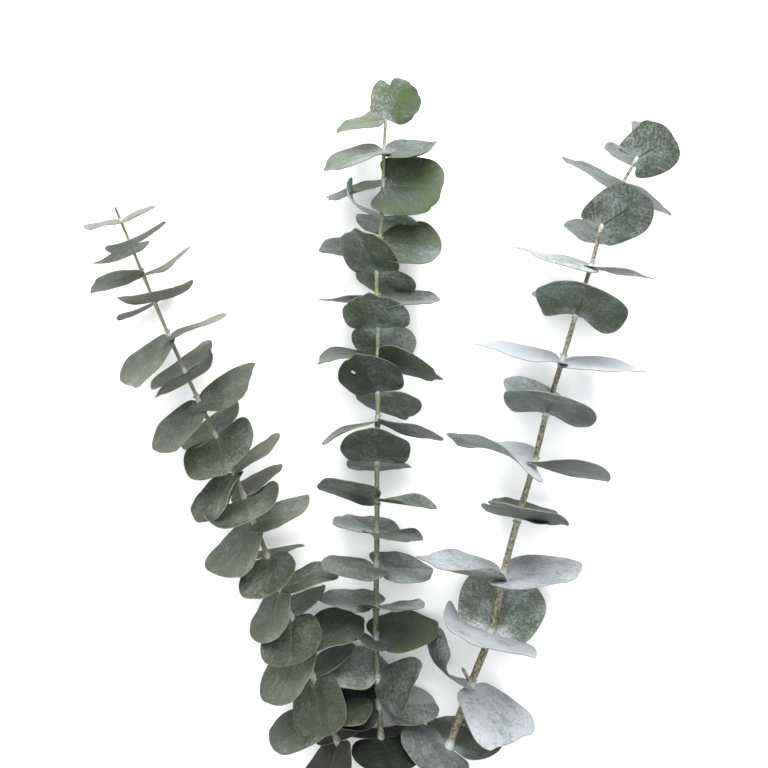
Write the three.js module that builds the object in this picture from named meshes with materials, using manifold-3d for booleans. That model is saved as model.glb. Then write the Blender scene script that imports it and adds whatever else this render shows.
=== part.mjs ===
// Three cut stems of round-leaved eucalyptus, laid down together in a fan.
//
// Millimetres. +X is to the right of the fan, +Y runs along the stems towards their tips, and +Z
// is up from the surface they lie on. The leaves sit on each stem in opposite pairs, each pair a
// quarter turn from the last, and clasp the stem with a broad base and no stalk. The leaves that
// point down are pressed flat where they meet the surface. The bare lower ends of the stems cross:
// the middle stem lies over the right one, and the left one over the middle one.

import * as THREE from 'three';
import { mergeVertices } from 'three/addons/utils/BufferGeometryUtils.js';
import Module from 'manifold-3d';

const wasm = await Module();
wasm.setup();

// The fan's middle, in the frame that the routes below are drawn in
const FAN_MIDDLE = [-2.82, -98.02];

// Blades
const BLADE_THICKNESS = 0.8;
const TIP_POINT = 0.03;
const OUTLINE_STEPS = 7;
const WAVE_HEIGHT = 0.035;
const PRESS_SOFTNESS = 3;

// Stems
const STEM_SIDES = 7;
const RING_SPACING = 15;
const NODE_SWELL = 0.35;
const NODE_SWELL_LENGTH = 3.5;
const CUT_END_LENGTH = 0.6;

const radians = (degrees) => (degrees * Math.PI) / 180;

// A repeatable number from 0 to 1 for the k-th small irregularity
function spread(k) {
  const s = Math.sin(k * 78.233) * 43758.5453;
  return s - Math.floor(s);
}

// A stem's centre line as closely spaced points, with the distance of each from the tip
function walkRoute(points) {
  const curve = new THREE.CatmullRomCurve3(
    points.map((p) => new THREE.Vector3(...p)), false, 'catmullrom', 0.5);
  const line = curve.getPoints(points.length * 24);
  const run = [0];
  for (let i = 1; i < line.length; i++) run.push(run[i - 1] + line[i].distanceTo(line[i - 1]));
  return { line, run, length: run[run.length - 1] };
}

// The point at a distance from the tip, and the direction towards the tip there
function alongRoute(route, distance) {
  const { line, run } = route;
  let i = 1;
  while (i < line.length - 1 && run[i] < distance) i++;
  const share = (distance - run[i - 1]) / (run[i] - run[i - 1]);
  const point = line[i - 1].clone().lerp(line[i], share);
  const towardsTip = line[i - 1].clone().sub(line[i]).normalize();
  return { point, towardsTip };
}

// A closed solid from rings of points that all have the same number of points
function loft(rings) {
  const sides = rings[0].length;
  const positions = [];
  const triangle = (a, b, c) => positions.push(...a.toArray(), ...b.toArray(), ...c.toArray());
  for (let i = 0; i + 1 < rings.length; i++) {
    for (let j = 0; j < sides; j++) {
      const k = (j + 1) % sides;
      triangle(rings[i][j], rings[i + 1][j], rings[i + 1][k]);
      triangle(rings[i][j], rings[i + 1][k], rings[i][k]);
    }
  }
  const first = rings[0];
  const last = rings[rings.length - 1];
  for (let j = 1; j + 1 < sides; j++) {
    triangle(first[0], first[j], first[j + 1]);
    triangle(last[0], last[j + 1], last[j]);
  }
  return toSolid(positions);
}

function toSolid(positions) {
  let geometry = new THREE.BufferGeometry();
  geometry.setAttribute('position', new THREE.Float32BufferAttribute(positions, 3));
  geometry = mergeVertices(geometry, 1e-4);
  const mesh = new wasm.Mesh({
    numProp: 3,
    vertProperties: new Float32Array(geometry.attributes.position.array),
    triVerts: new Uint32Array(geometry.index.array),
  });
  mesh.merge();
  return new wasm.Manifold(mesh);
}

// A ring of points about a centre, square to a direction
function ring(centre, direction, radius, sides) {
  const across = new THREE.Vector3(0, 0, 1).cross(direction).normalize();
  const up = direction.clone().cross(across);
  const points = [];
  for (let j = 0; j < sides; j++) {
    const angle = (2 * Math.PI * j) / sides;
    points.push(centre.clone()
      .addScaledVector(across, radius * Math.cos(angle))
      .addScaledVector(up, radius * Math.sin(angle)));
  }
  return points;
}

// The stem's radius: it thickens towards the cut end and swells a little at each pair of leaves
function stemRadius(stem, route, distance) {
  const share = distance / route.length;
  const plain = stem.tipRadius + (stem.cutRadius - stem.tipRadius) * share ** 0.8;
  let swell = 0;
  for (const [at] of stem.pairs) {
    swell = Math.max(swell, Math.exp(-(((distance - at) / NODE_SWELL_LENGTH) ** 2)));
  }
  return plain * (1 + NODE_SWELL * swell);
}

function stemSolid(stem, route) {
  const places = new Set(stem.pairs.map(([at]) => at).filter((at) => at > 1));
  for (let s = 0; s < route.length; s += RING_SPACING) {
    const clear = [...places].every((at) => Math.abs(at - s) > RING_SPACING / 3);
    if (clear) places.add(s);
  }
  places.add(0);
  places.add(route.length - CUT_END_LENGTH);
  places.add(route.length);
  const rings = [...places].sort((a, b) => a - b).map((s) => {
    const { point, towardsTip } = alongRoute(route, s);
    const chamfer = s === route.length ? 0.85 : 1;
    return ring(point, towardsTip, stemRadius(stem, route, s) * chamfer, STEM_SIDES);
  });
  return loft(rings);
}

// A short leafless side shoot that leans out from the stem
function sideShootSolid(shoot, route) {
  const { point, towardsTip } = alongRoute(route, shoot.at);
  const { outward } = stemDirections(towardsTip, shoot.turn, shoot.lift);
  return loft([1, 0.6, 0].map((share) => ring(
    point.clone().addScaledVector(outward, share * shoot.long),
    outward, shoot.radius * (1 - 0.35 * share), STEM_SIDES)));
}

// The direction that leaves the stem at a turn about it and lifts towards its tip
function stemDirections(towardsTip, turn, lift) {
  const right = towardsTip.clone().cross(new THREE.Vector3(0, 0, 1)).normalize();
  const front = right.clone().cross(towardsTip).normalize();
  const outward = right.multiplyScalar(Math.cos(radians(turn)))
    .addScaledVector(front, Math.sin(radians(turn)))
    .multiplyScalar(Math.cos(radians(lift)))
    .addScaledVector(towardsTip, Math.sin(radians(lift)));
  const upward = towardsTip.clone()
    .addScaledVector(outward, -towardsTip.dot(outward)).normalize();
  return { outward, upward };
}

// The blade's outline on the flat, as shares of its length and width. The angle runs from 0 at
// the base round one side to 180 degrees at the tip.
function outline(leaf, angle) {
  const lobe = angle < Math.PI / 2 ? leaf.lobe * Math.sin(2 * angle) ** 2 : 0;
  const tip = TIP_POINT * Math.max(0, -Math.cos(angle)) ** 8;
  return {
    along: 0.5 - 0.5 * Math.cos(angle) - lobe + tip,
    across: 0.5 * Math.sin(angle) ** 0.85,
  };
}

// Where a flat point of the blade goes once the blade is bent along its midrib, twisted, cupped
// and waved at its edge: out along the midrib, across it, and up from the upper face
function bendBlade(leaf, along, across) {
  const steps = 12;
  let out = 0;
  let up = 0;
  for (let i = 0; i < steps; i++) {
    const share = Math.max(0, along / leaf.long) * ((i + 0.5) / steps);
    const heading = radians(leaf.bend) * share ** 1.5;
    out += (Math.cos(heading) * along) / steps;
    up += (Math.sin(heading) * along) / steps;
  }
  const end = radians(leaf.bend) * Math.max(0, along / leaf.long) ** 1.5;
  const edge = across / (leaf.wide / 2);
  const wave = WAVE_HEIGHT * leaf.long * Math.abs(edge) ** 2
    * Math.sin((5 * along) / leaf.long + leaf.phase + (edge > 0 ? 0 : 2));
  const cup = leaf.cup * leaf.wide * 0.25 * edge * edge;
  const turn = radians(leaf.twist) * (along / leaf.long);
  const aside = across * Math.cos(turn) - (cup + wave) * Math.sin(turn);
  const lift = across * Math.sin(turn) + (cup + wave) * Math.cos(turn);
  return [out - lift * Math.sin(end), aside, up + lift * Math.cos(end)];
}

// Nothing sinks into the surface: a blade that would is pressed against it, with a soft start
function press(height) {
  const low = BLADE_THICKNESS / 2;
  const above = height - low;
  if (above > PRESS_SOFTNESS) return height;
  if (above < -PRESS_SOFTNESS) return low;
  return low + (above + PRESS_SOFTNESS) ** 2 / (4 * PRESS_SOFTNESS);
}

// The point of a blade's middle surface over a flat point of the blade
function bladePoint(leaf, along, across) {
  const [out, aside, up] = bendBlade(leaf, along, across);
  const point = leaf.root.clone()
    .addScaledVector(leaf.outward, out)
    .addScaledVector(leaf.sideways, aside)
    .addScaledVector(leaf.upward, up);
  point.z = press(point.z);
  return point;
}

// The two faces over a flat point of the blade, half the thickness to either side of its middle
function bladeFaces(leaf, along, across) {
  const small = 0.05;
  const middle = bladePoint(leaf, along, across);
  const forward = bladePoint(leaf, along + small, across)
    .sub(bladePoint(leaf, along - small, across));
  const sideways = bladePoint(leaf, along, across + small)
    .sub(bladePoint(leaf, along, across - small));
  const normal = forward.cross(sideways).normalize();
  return {
    top: middle.clone().addScaledVector(normal, BLADE_THICKNESS / 2),
    bottom: middle.clone().addScaledVector(normal, -BLADE_THICKNESS / 2),
  };
}

// A blade as a closed solid: both halves of both faces, split alike, and the edge between them
function bladeSolid(leaf) {
  const positions = [];
  const quad = (a, b, c, d) => {
    for (const [p, q, r] of [[a, b, c], [a, c, d]]) {
      if (p.distanceTo(q) > 1e-3 && q.distanceTo(r) > 1e-3 && r.distanceTo(p) > 1e-3) {
        positions.push(...p.toArray(), ...q.toArray(), ...r.toArray());
      }
    }
  };
  for (const side of [1, -1]) {
    const rows = [];
    for (let k = 0; k <= OUTLINE_STEPS; k++) {
      const { along, across } = outline(leaf, (Math.PI * k) / OUTLINE_STEPS);
      const rib = k === 0 || k === OUTLINE_STEPS ? along : k / OUTLINE_STEPS;
      const edgeOut = k === 0 || k === OUTLINE_STEPS ? 0 : across * side;
      rows.push({
        rib: bladeFaces(leaf, rib * leaf.long, 0),
        edge: bladeFaces(leaf, along * leaf.long, edgeOut * leaf.wide),
      });
    }
    for (let k = 0; k < OUTLINE_STEPS; k++) {
      const [near, far] = [rows[k], rows[k + 1]];
      const faces = side > 0
        ? [[near.rib.top, far.rib.top, far.edge.top, near.edge.top],
          [near.rib.bottom, near.edge.bottom, far.edge.bottom, far.rib.bottom],
          [near.edge.bottom, near.edge.top, far.edge.top, far.edge.bottom]]
        : [[near.rib.top, near.edge.top, far.edge.top, far.rib.top],
          [near.rib.bottom, far.rib.bottom, far.edge.bottom, near.edge.bottom],
          [near.edge.bottom, far.edge.bottom, far.edge.top, near.edge.top]];
      for (const face of faces) quad(...face);
    }
  }
  return toSolid(positions);
}

// A leaf's frame: its midrib leaves the stem at a turn about it and lifts towards its tip, and its
// upper face looks along the stem, rolled about the midrib
function placeLeaf(stem, route, at, row, index) {
  const [turn, lift, long, roll = 0, bend = 0, twist = 0, wide = 1, cup = 0] = row;
  const { point, towardsTip } = alongRoute(route, at);
  const { outward, upward } = stemDirections(towardsTip, turn, lift);
  upward.applyAxisAngle(outward, radians(roll));
  return {
    root: point,
    outward,
    upward,
    sideways: upward.clone().cross(outward),
    long,
    wide: long * stem.wide * wide,
    lobe: stem.lobe,
    bend,
    twist,
    cup: stem.cup + cup + 0.12 * (spread(index + 0.3) - 0.5),
    phase: 2 * Math.PI * spread(index + 0.6),
  };
}

// Joins solids, and keeps the one body that they make, with no loose scrap and no sealed hollow
function fuse(solids) {
  const whole = solids.reduce((sum, solid) => sum.add(solid));
  return whole.decompose().reduce((best, one) => (one.volume() > best.volume() ? one : best));
}

function toGeometry(solid) {
  const { vertProperties, triVerts } = solid.getMesh();
  const geometry = new THREE.BufferGeometry();
  geometry.setAttribute('position', new THREE.BufferAttribute(new Float32Array(vertProperties), 3));
  geometry.setIndex(new THREE.BufferAttribute(new Uint32Array(triVerts), 1));
  geometry.computeVertexNormals();
  return geometry;
}

// A leafy stem: each row of pairs is [distance from the tip, first leaf, second leaf], and each
// leaf is [turn, lift, length, roll, bend, twist, width, cup]. A turn of 0 points to the right of
// the fan, 90 up from the surface and 180 to the left. Angles are in degrees. The width and cup
// add to what is usual for the stem: a width of 1.1 is a tenth wider.
const leftStem = {
  name: 'left_branch',
  tipRadius: 0.8,
  cutRadius: 2.4,
  wide: 1.12,
  lobe: 0.1,
  cup: 0.12,
  route: [[-161.4, 106.2, 34], [-145.2, 67.2, 34], [-129, 28.8, 34], [-111, -10.2, 35],
    [-88.8, -55.2, 36], [-69.6, -103.2, 37], [-55.8, -138, 37], [-43.2, -172.8, 36.5],
    [-28.2, -213.6, 33.5], [-12.5, -258, 28.5], [4, -304, 22.5], [26.4, -369.6, 13]],
  pairs: [
    [9.3, [15, -3, 23, 8], [165, 10, 23, -8]],
    [25.5, [70, 0, 30, 5, 0, 0, 1.15], [242, -2, 30, 0, 0, 0, 1.1]],
    [44, [20, -5, 35, 8, 25, 0, 0.9], [165, 10, 34, 10, -15]],
    [61.5, [78, -4, 35, 0, 0, 0, 1.15], [258, 2, 35, 0, 0, 0, 1.1]],
    [84, [15, -6, 36, 10], [160, -30, 41, -20, 0, 0, 0.95]],
    [108, [95, 14, 34, 0, 0, 0, 1.1], [262, 18, 36, -12, 0, 0, 1.15]],
    [127, [18, 4, 39, 22], [156, -28, 42, -22, 0, 0, 0.95]],
    [150, [55, -36, 36, 49, 0, 0, 1.05], [262, 20, 36, -12, 0, 0, 1.15]],
    [177, [350, 12, 37, 8, 15], [150, -24, 37, -12, -20, 0, 0.9]],
    [191, [88, -26, 36, 4, 0, 0, 1.2], [305, 20, 34, 0, 0, 0, 0.95]],
    [207, [17, -3, 37, 14], [157, -38, 40, -8, 0, 0, 0.95]],
    [229, [98, -31, 36, 0, 0, 0, 0.9], [275, 2, 36, 12, 0, 0, 0.95]],
    [249.5, [345, -4, 36, 16], [150, -46, 34, -12, 0, 0, 0.95]],
    [268, [115, -43, 34, -8, 0, 0, 1.02], [300, 18, 32, 0, 0, 0, 0.9]],
    [286, [345, 3, 39, 22], [147, -42, 40, -10]],
    [306, [106, -60, 39, 8, 0, 0, 0.85], [310, 12, 34, 0, 0, 0, 0.9]],
    [330, [16, -15, 28, 12], [170, -8, 39, -18]],
    [348, [132, -38, 34], [280, 3, 32]],
  ],
};

const middleStem = {
  name: 'middle_branch',
  tipRadius: 0.9,
  cutRadius: 2.6,
  wide: 1.1,
  lobe: 0.1,
  cup: 0.12,
  route: [[1.2, 159.6, 33], [0, 140.4, 33], [-1.2, 100.8, 33], [-4.2, 67.8, 33],
    [-3.6, 33.6, 33], [-3.6, -4.8, 33], [-4.2, -46.8, 33], [-4.2, -87.6, 33],
    [-4.8, -133.2, 33], [-4.8, -153.6, 32.5], [-3, -189.6, 30.5], [-1.2, -225.6, 27],
    [0.6, -267.6, 22], [2.4, -375.6, 8]],
  pairs: [
    [0.6, [52, 50, 27, 0, 0, 0, 1.05], [222, -10, 28]],
    [19.2, [8, -5, 36, 16, 25], [160, -12, 35, -10, -25]],
    [39.6, [34, -6, 40, 62], [222, -8, 37, 10, 0, 0, 1.05]],
    [58.9, [335, -6, 36, 10], [182, 5, 35, -4, 105, 0, 0.9]],
    [75.1, [36, 4, 37, 48], [197, -12, 35, 12]],
    [92, [115, 40, 36, 0, 0, 0, 0.88], [298, -28, 34, 0, 0, 0, 0.95]],
    [109.4, [10, -2, 36, 14], [180, 2, 36]],
    [126.2, [99, 32, 35], [283, -40, 35]],
    [144.2, [4, -17, 38, -16], [166, 13, 37, 4, -45]],
    [164.6, [118, 35, 37], [298, -26, 36]],
    [182, [0, -16, 41, -9, 0, 0, 0.8], [165, -14, 37, 4, -25]],
    [206.6, [95, 33, 37], [275, -11, 36]],
    [229.4, [14, -11, 38, -12, 0, 0, 0.9], [177, 24, 38, 20]],
    [249.2, [52, -4, 36], [242, 12, 36]],
    [269.6, [332, -5, 35, 26], [146, 1, 35, -10]],
    [293, [53, 2, 35], [207, 8, 36, -9]],
    [313.4, [330, 2, 36, 22], [125, -16, 34, 0, 0, 0, 0.75]],
    [337.5, [57, -12, 38, 60, 0, 0, 0.85], [208, 14, 37, -18]],
    [354.3, [336, -6, 38, 24], [200, 2, 24, -20]],
    [373.5, [78, -19, 33], [293, 4, 33]],
  ],
};

const rightStem = {
  name: 'right_branch',
  tipRadius: 0.8,
  cutRadius: 3,
  wide: 1.2,
  lobe: 0.18,
  cup: 0.1,
  route: [[157.2, 146.4, 35], [151.8, 135.6, 35], [142.8, 120, 35], [131.4, 97.2, 35],
    [124.8, 73.2, 35], [115.8, 44.4, 35], [107.4, 15.6, 35], [97.8, -15.6, 35], [90, -47.4, 35],
    [80.4, -80.4, 35], [71.4, -114.6, 34], [64.2, -149.4, 32], [52.2, -181.8, 28],
    [39.6, -219.6, 22.5], [26.4, -258.6, 16.5], [9.6, -309.6, 9.5], [-7.2, -360.6, 3.2]],
  pairs: [
    [1.5, [85, 50, 15], [245, 40, 18]],
    [12, [62, 39, 29, -39], [255, -8, 28]],
    [32.5, [22, -3, 34], [172, -2, 36]],
    [58, [59, 35, 35, 0, 0, 0, 1, -0.35], [262, -5, 32]],
    [84, [15, 5, 37], [176, -2, 44]],
    [113.5, [92, 24, 43, 0, 0, 0, 1.12, -0.35], [257, 5, 40]],
    [142.6, [15, 9, 43, 10], [172, -6, 47, -10]],
    [175, [92, 15, 44, 0, 0, 0, 1.1, -0.35], [250, 21, 46]],
    [206.5, [14, 8, 48, -8, 0, 0, 0.85], [168, 4, 52, -10, 0, 25, 0.95]],
    [240.3, [84, 2, 44, 6], [285, 9, 35]],
    [275.7, [20, 19, 50, 10], [169, 0, 48, -8]],
    [311.5, [100, 1, 46, -5, 0, 0, 1.05], [284, 42, 47]],
    [346.5, [32, -22, 48, 12, 0, 0, 0.95], [180, -5, 50, 0, 130, 0, 0.7]],
    [387, [297, 16, 40], [119, -7, 38, -20]],
  ],
  sideShoot: { at: 345, turn: 150, lift: 40, long: 13, radius: 1.4 },
};

const LEAF_GREEN = 0x66756a;

function branch(stem, firstIndex) {
  const route = walkRoute(stem.route);
  const solids = [stemSolid(stem, route)];
  if (stem.sideShoot) solids.push(sideShootSolid(stem.sideShoot, route));
  stem.pairs.forEach(([at, first, second], i) => {
    solids.push(bladeSolid(placeLeaf(stem, route, at, first, firstIndex + 2 * i)));
    solids.push(bladeSolid(placeLeaf(stem, route, at, second, firstIndex + 2 * i + 1)));
  });
  const mesh = new THREE.Mesh(toGeometry(fuse(solids)), new THREE.MeshStandardMaterial({
    color: LEAF_GREEN,
    roughness: 0.7,
    metalness: 0,
  }));
  mesh.name = stem.name;
  return mesh;
}

const fan = new THREE.Group();
fan.add(branch(leftStem, 1), branch(middleStem, 101), branch(rightStem, 201));
fan.position.set(-FAN_MIDDLE[0], -FAN_MIDDLE[1], 0);

export default fan;
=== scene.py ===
# %% [markdown]
# Eucalyptus branch.
#
# Three cut stems of round-leaved eucalyptus lie on a pale floor in a fan, seen from straight above.
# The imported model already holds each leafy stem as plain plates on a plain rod, at the right size
# and place. This lesson replaces them with leaves that have a thin rim, a sunken midrib, rolled
# and ruffled margins and a waxy bloom, on stems with swollen joints, scars and buds. Each leaf
# grows where the model has its plate, and some are turned or tilted a little further than there.

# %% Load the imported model
import math

import bpy
import numpy as np
from mathutils import Matrix, Vector


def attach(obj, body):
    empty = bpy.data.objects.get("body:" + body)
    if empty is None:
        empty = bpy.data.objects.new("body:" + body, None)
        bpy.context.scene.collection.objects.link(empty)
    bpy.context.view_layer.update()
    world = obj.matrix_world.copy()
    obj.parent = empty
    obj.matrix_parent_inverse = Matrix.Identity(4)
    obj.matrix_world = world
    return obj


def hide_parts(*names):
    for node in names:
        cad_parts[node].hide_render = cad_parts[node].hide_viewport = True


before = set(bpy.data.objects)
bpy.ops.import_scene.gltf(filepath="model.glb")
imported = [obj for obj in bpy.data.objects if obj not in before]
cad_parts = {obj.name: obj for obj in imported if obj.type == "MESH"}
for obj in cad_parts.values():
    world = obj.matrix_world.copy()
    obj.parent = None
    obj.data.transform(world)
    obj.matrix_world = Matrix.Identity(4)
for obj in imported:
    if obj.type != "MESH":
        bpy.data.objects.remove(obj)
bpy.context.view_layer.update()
bpy.ops.object.select_all(action="DESELECT")
print("nodes:", sorted(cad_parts))

# %% Helpers for objects
def add_object(name, data):
    """A new object in the scene, with its data."""
    made = bpy.data.objects.new(name, data)
    bpy.context.collection.objects.link(made)
    return made


def select_only(*pieces):
    """Selects the pieces and makes the last of them the active one."""
    bpy.ops.object.select_all(action="DESELECT")
    for piece in pieces:
        piece.select_set(True)
    bpy.context.view_layer.objects.active = pieces[-1]


def keep_number(mesh, name, values):
    """Stores one number on each vertex, where a material can read it."""
    number = mesh.attributes.new(name, "FLOAT", "POINT")
    every = np.broadcast_to(values, len(mesh.vertices))
    number.data.foreach_set("value", every.astype(np.float32))


# %% [markdown]
# The camera looks straight down at the fan, with the tips at the top of the picture. The places in
# the tables are millimetres in a drawing whose zero is the middle of the picture, so the fan's own
# middle is named here once, and every place is moved by it.

# %% Camera
MM = 0.001
FAN_MIDDLE = (-2.82, -98.02)
STEM_HEIGHT = 34.0
CAMERA_DISTANCE = 1000.0
FIELD_WIDTH = 460.8
SENSOR = 36.0
FARTHEST_SEEN = 20.0

camera_data = bpy.data.cameras.new("camera")
camera_data.sensor_width = SENSOR
camera_data.lens = SENSOR * CAMERA_DISTANCE / FIELD_WIDTH
camera_data.clip_end = FARTHEST_SEEN
camera = add_object("camera", camera_data)
camera.location = (
    -FAN_MIDDLE[0] * MM,
    -FAN_MIDDLE[1] * MM,
    (STEM_HEIGHT + CAMERA_DISTANCE) * MM,
)
bpy.context.scene.camera = camera
print("camera lens:", round(camera_data.lens, 2), "mm")

# %% [markdown]
# Each stem is a smooth line through a few measured points, listed from the tip to the cut end. Its
# leaves grow in opposite pairs, and each pair stands a quarter turn from the last. A pair's row
# gives its distance from the tip and then two leaves. A leaf's row gives, in this order:
# turn about the stem (0 right, 90 towards the viewer, 180 left), lift towards the tip, length in
# millimetres, roll about the midrib, bend along it, twist along it, and then its width and cup
# against what is usual for the stem.

# %% The left stem
LEFT = {
    "node": "left_branch",
    "tip_radius": 0.8,
    "cut_radius": 2.2,
    "wide": 1.12,
    "lobe": 0.1,
    "cup": 0.12,
    "broad": 0.16,
    "first_leaf": 1,
    "route": [
        [-161.4, 106.2, 34], [-145.2, 67.2, 34], [-129, 28.8, 34], [-111, -10.2, 35],
        [-88.8, -55.2, 36], [-69.6, -103.2, 37], [-55.8, -138, 37], [-43.2, -172.8, 36.5],
        [-28.2, -213.6, 33.5], [-12.5, -258, 28.5], [4, -304, 22.5], [26.4, -369.6, 13],
    ],
    "pairs": [
        [9.3, [15, -3, 23, 15], [165, 10, 23, -19]],
        [25.5, [70, 1, 30, 5, 0, 0, 1.15], [242, -3, 30, 0, 0, 0, 1.1]],
        [44, [20, -8, 35, 13, 30, 0, 0.75], [165, 8, 34, 6, -10]],
        [61.5, [78, 3, 35, -10, 0, 0, 1.15], [258, 2, 35, -8, 0, 0, 1.1]],
        [84, [15, -6, 36, 10], [167, -30, 41, -20, 0, 0, 1.05]],
        [108, [84, -14, 34, 6, 0, 0, 1.2], [262, 18, 36, -12, 0, 0, 1.15]],
        [127, [18, -5, 41, 27], [156, -31, 41, -20, 0, 0, 0.9]],
        [150, [95, -44, 33, 6, 0, 0, 1.3], [262, 20, 36, -12, 0, 0, 1.1]],
        [175, [350, 12, 37, 8, 15], [146, -32, 38, -14, -20, 0, 0.85]],
        [191, [88, -22, 36, 4, 0, 0, 1.25], [305, 20, 34, 0, 0, 0, 0.95]],
        [207, [17, -3, 37, 18], [157, -38, 40, -20]],
        [229, [98, -31, 36, 0, 0, 0, 0.9], [275, 2, 36, 12, 0, 0, 0.95]],
        [249.5, [345, -4, 36, 16], [150, -46, 34, -12, 0, 0, 0.95]],
        [268, [107, -43, 34, -8, 0, 0, 1.02], [300, 18, 32, 0, 0, 0, 0.9]],
        [286, [345, 3, 39, 22], [147, -42, 40, -10]],
        [306, [106, -60, 39, 8, 0, 0, 0.85], [310, 12, 34, 0, 0, 0, 0.9]],
        [330, [16, -15, 28, 12], [170, -8, 39, -18]],
        [348, [132, -38, 34], [280, 3, 32]],
    ],
}
print("left stem:", len(LEFT["pairs"]), "pairs")

# %% The middle stem
MIDDLE = {
    "node": "middle_branch",
    "tip_radius": 0.9,
    "cut_radius": 2.2,
    "wide": 1.1,
    "lobe": 0.1,
    "cup": 0.12,
    "broad": -0.03,
    "first_leaf": 101,
    "route": [
        [1.2, 159.6, 33], [0, 140.4, 33], [-1.2, 100.8, 33], [-4.2, 67.8, 33],
        [-3.6, 33.6, 33], [-3.6, -4.8, 33], [-4.2, -46.8, 33], [-4.2, -87.6, 33],
        [-4.8, -133.2, 33], [-4.8, -153.6, 32.5], [-3, -189.6, 30.5], [-1.2, -225.6, 27],
        [0.6, -267.6, 22], [2.4, -375.6, 8],
    ],
    "pairs": [
        [0.6, [54, 50, 27, -26, 0, 0, 1.05], [205, -8, 31, -33]],
        [19.2, [8, -5, 35, 22, 10], [160, -12, 36, -17, -25]],
        [39.6, [12, -6, 38, 62, 0, 0, 1.05], [215, -8, 38, -24, 0, 0, 0.85]],
        [58.9, [285, -14, 36, 0, 0, 0, 1.0], [182, 5, 35, -4, 105, 0, 0.9]],
        [75.1, [8, 2, 37, 48, 0, 0, 0.95], [197, -12, 35, 12]],
        [92, [115, 36, 36, 0, 0, 0, 0.88], [298, -28, 34, 0, 0, 0, 0.95]],
        [109.4, [8, -2, 36, 18], [180, 2, 36]],
        [126.2, [99, 32, 35], [283, -40, 35]],
        [144.2, [4, -18, 38, -20], [166, 13, 37, -8, -45]],
        [164.6, [115, 35, 37, 12, 0, 0, 0.9], [298, -26, 36]],
        [182, [0, -16, 41, -9, 0, 0, 0.8], [165, -14, 37, 4, -25]],
        [206.6, [95, 33, 37], [275, -11, 36]],
        [229.4, [14, -8, 38, -6, 0, 0, 0.9], [177, 20, 38, 20, -15]],
        [249.2, [52, -4, 36, 0, 0, 0, 0.8], [242, 12, 36]],
        [269.6, [332, -5, 35, 26], [143, 0, 36, -15]],
        [293, [53, 2, 35], [207, 8, 36, -9]],
        [313.4, [334, 8, 40, 22, 0, 0, 0.9], [98, 4, 30, -26, 0, 0, 0.62]],
        [337.5, [50, -2, 36, 62, 0, 0, 0.8], [208, 14, 37, -18]],
        [354.3, [336, -6, 38, 24], [192, 4, 36, -36]],
        [373.5, [78, -19, 35, 0, 0, 0, 1.1], [262, -6, 35]],
    ],
}
print("middle stem:", len(MIDDLE["pairs"]), "pairs")

# %% The right stem
RIGHT = {
    "node": "right_branch",
    "tip_radius": 0.8,
    "cut_radius": 3.0,
    "wide": 1.2,
    "lobe": 0.18,
    "cup": 0.1,
    "broad": 0.04,
    "first_leaf": 201,
    "route": [
        [157.2, 146.4, 35], [151.8, 135.6, 35], [142.8, 120, 35], [131.4, 97.2, 35],
        [124.8, 73.2, 35], [115.8, 44.4, 35], [107.4, 15.6, 35], [97.8, -15.6, 35],
        [90, -47.4, 35], [80.4, -80.4, 35], [71.4, -114.6, 34], [64.2, -149.4, 32],
        [52.2, -181.8, 28], [39.6, -219.6, 22.5], [26.4, -258.6, 16.5], [9.6, -309.6, 9.5],
        [-7.2, -360.6, 3.2],
    ],
    "pairs": [
        [1.5, [85, 50, 15], [245, 40, 18]],
        [12, [46, 46, 27, -40], [245, -4, 27]],
        [32.5, [22, -3, 34], [172, -2, 36]],
        [58, [46, 42, 34, -36, 0, 0, 0.9], [262, -14, 32]],
        [84, [15, 5, 37, 4, 0, 0, 0.85], [176, -2, 44, -8]],
        [113.5, [92, 22, 42, 0, 0, 0, 1.12, -0.35], [257, 14, 40]],
        [142.6, [15, 9, 43, 10], [172, -6, 47, -10]],
        [175, [92, 15, 43, 0, 0, 0, 1.1, -0.35], [252, 24, 44, 0, 0, 0, 0.9]],
        [206.5, [14, 6, 48, -4, 0, -14, 0.75], [168, 4, 50, -23, 0, 50, 0.78]],
        [240.3, [84, 14, 44, 6], [285, 14, 35]],
        [275.7, [20, 16, 49, 15], [169, 0, 46, -12, 0, 0, 0.85]],
        [311.5, [104, 1, 46, -2, 0, 0, 1.15], [278, 42, 47, 0, 0, 0, 0.95]],
        [346.5, [32, -27, 48, 12, 0, 0, 0.92], [180, -5, 44, 0, 128, 35, 0.68]],
        [387, [297, 16, 40], [119, -7, 38, -20]],
    ],
}
SIDE_SHOOT = {"at": 345.0, "turn": 150.0, "lift": 40.0, "long": 13.0, "radius": 1.4}
STEMS = [LEFT, MIDDLE, RIGHT]
print("right stem:", len(RIGHT["pairs"]), "pairs")

# %% [markdown]
# Some leaves stand out. Here are their own values, by the leaf's number: leaves are numbered along
# the stem, two to a pair, from 1 on the left stem, 101 on the middle one and 201 on the right one.
# "sides" are the angles in degrees by which its two halves roll, "tip_curl" the same for its
# tip, "dents" are nicks in its margin (where round the leaf in degrees, how deep, how wide), and
# "lobe", "kidney", "broad", "blunt" and "notch" change its outline. A low "kidney" brings the two
# lobes at a leaf's foot closer together. A negative "notch" draws the tip out to a point.

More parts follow.
